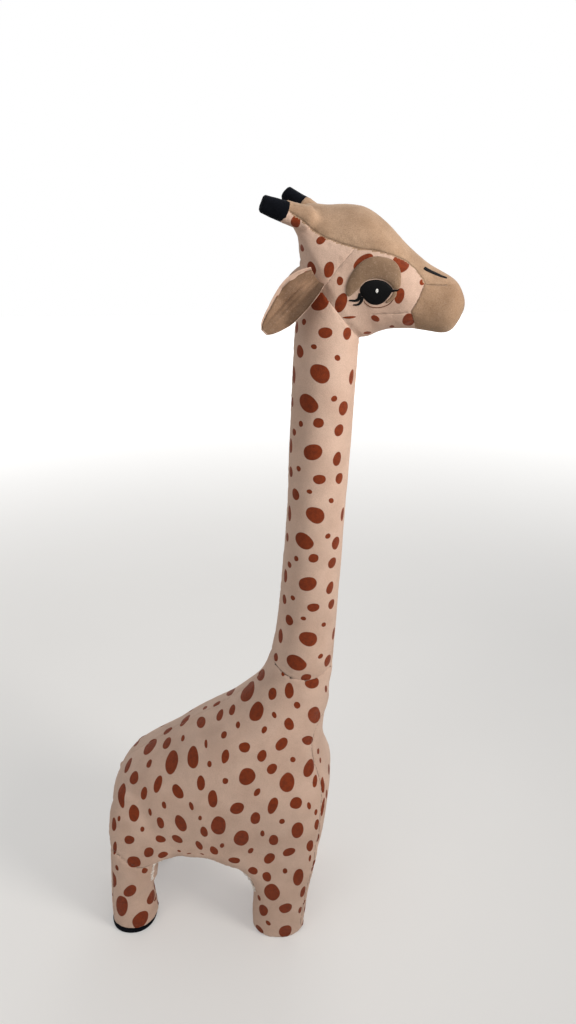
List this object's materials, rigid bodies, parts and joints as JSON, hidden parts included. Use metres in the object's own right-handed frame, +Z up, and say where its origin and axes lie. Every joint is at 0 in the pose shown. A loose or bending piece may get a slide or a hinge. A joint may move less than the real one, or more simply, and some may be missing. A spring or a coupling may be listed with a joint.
{
  "type": "plush giraffe",
  "caption": "Standing plush giraffe: stuffed body on flat-soled legs, tall upright neck, tan forehead and muzzle, embroidered eyes, soft horns, floppy ears and a hanging tail.",
  "frame": {"origin": "on the floor under the middle of the toy's overall box, with the soles at Z = 0", "axes": "+X is the way the giraffe faces, +Y is its left side and +Z is up"},
  "size_m": [0.5782, 0.2364, 1.2033],
  "materials": {
    "printed_cloth": "matte",
    "tan_cloth": "matte",
    "dark_cloth": "matte",
    "stuffing": "matte",
    "board": "matte",
    "tube": "satin",
    "black_thread": "satin",
    "white_thread": "satin",
    "lid_cloth": "matte"
  },
  "bodies": {
    "toy": {"torso_cover": "printed_cloth", "neck_cover": "printed_cloth", "head_cover": "printed_cloth", "forehead_panel": "tan_cloth", "muzzle_cover": "tan_cloth", "torso_filling": "stuffing", "neck_filling": "stuffing", "head_filling": "stuffing", "neck_core": "tube", "rear_right_leg_cover": "printed_cloth", "rear_right_foot_board": "board", "rear_right_leg_filling": "stuffing", "rear_right_sole": "dark_cloth", "rear_left_leg_cover": "printed_cloth", "rear_left_foot_board": "board", "rear_left_leg_filling": "stuffing", "rear_left_sole": "dark_cloth", "front_right_leg_cover": "printed_cloth", "front_right_foot_board": "board", "front_right_leg_filling": "stuffing", "front_right_sole": "dark_cloth", "front_left_leg_cover": "printed_cloth", "front_left_foot_board": "board", "front_left_leg_filling": "stuffing", "front_left_sole": "dark_cloth", "right_horn_stem": "printed_cloth", "right_horn_tip": "dark_cloth", "right_eye": "black_thread", "right_eye_highlight": "white_thread", "right_eyelid": "lid_cloth", "right_lower_rim": "lid_cloth", "right_rear_lash": "black_thread", "right_low_lash": "black_thread", "right_front_lash": "black_thread", "right_nostril": "black_thread", "left_horn_stem": "printed_cloth", "left_horn_tip": "dark_cloth", "left_eye": "black_thread", "left_eye_highlight": "white_thread", "left_eyelid": "lid_cloth", "left_lower_rim": "lid_cloth", "left_rear_lash": "black_thread", "left_low_lash": "black_thread", "left_front_lash": "black_thread", "left_nostril": "black_thread"},
    "right_ear": {"right_ear_back": "printed_cloth", "right_ear_lining": "tan_cloth"},
    "left_ear": {"left_ear_back": "printed_cloth", "left_ear_lining": "tan_cloth"},
    "tail_body": {"tail": "printed_cloth", "tail_tuft": "dark_cloth"}
  },
  "joints": [
    {"name": "right_ear_fold", "type": "hinge", "parent": "toy", "child": "right_ear", "pos_m": [0.08632, -0.04483, 1.0868], "axis": [-0.6483, 0.3362, 0.6832], "range_deg": [-15, 35], "stiffness_Nm_per_rad": 0.01},
    {"name": "left_ear_fold", "type": "hinge", "parent": "toy", "child": "left_ear", "pos_m": [0.08631, 0.04457, 1.08687], "axis": [0.6425, 0.3444, -0.6845], "range_deg": [-15, 35], "stiffness_Nm_per_rad": 0.01},
    {"name": "tail_swing", "type": "hinge", "parent": "toy", "child": "tail_body", "pos_m": [-0.2616, 0, 0.26191], "axis": [0, 1, 0], "range_deg": [0, 100]}
  ]
}
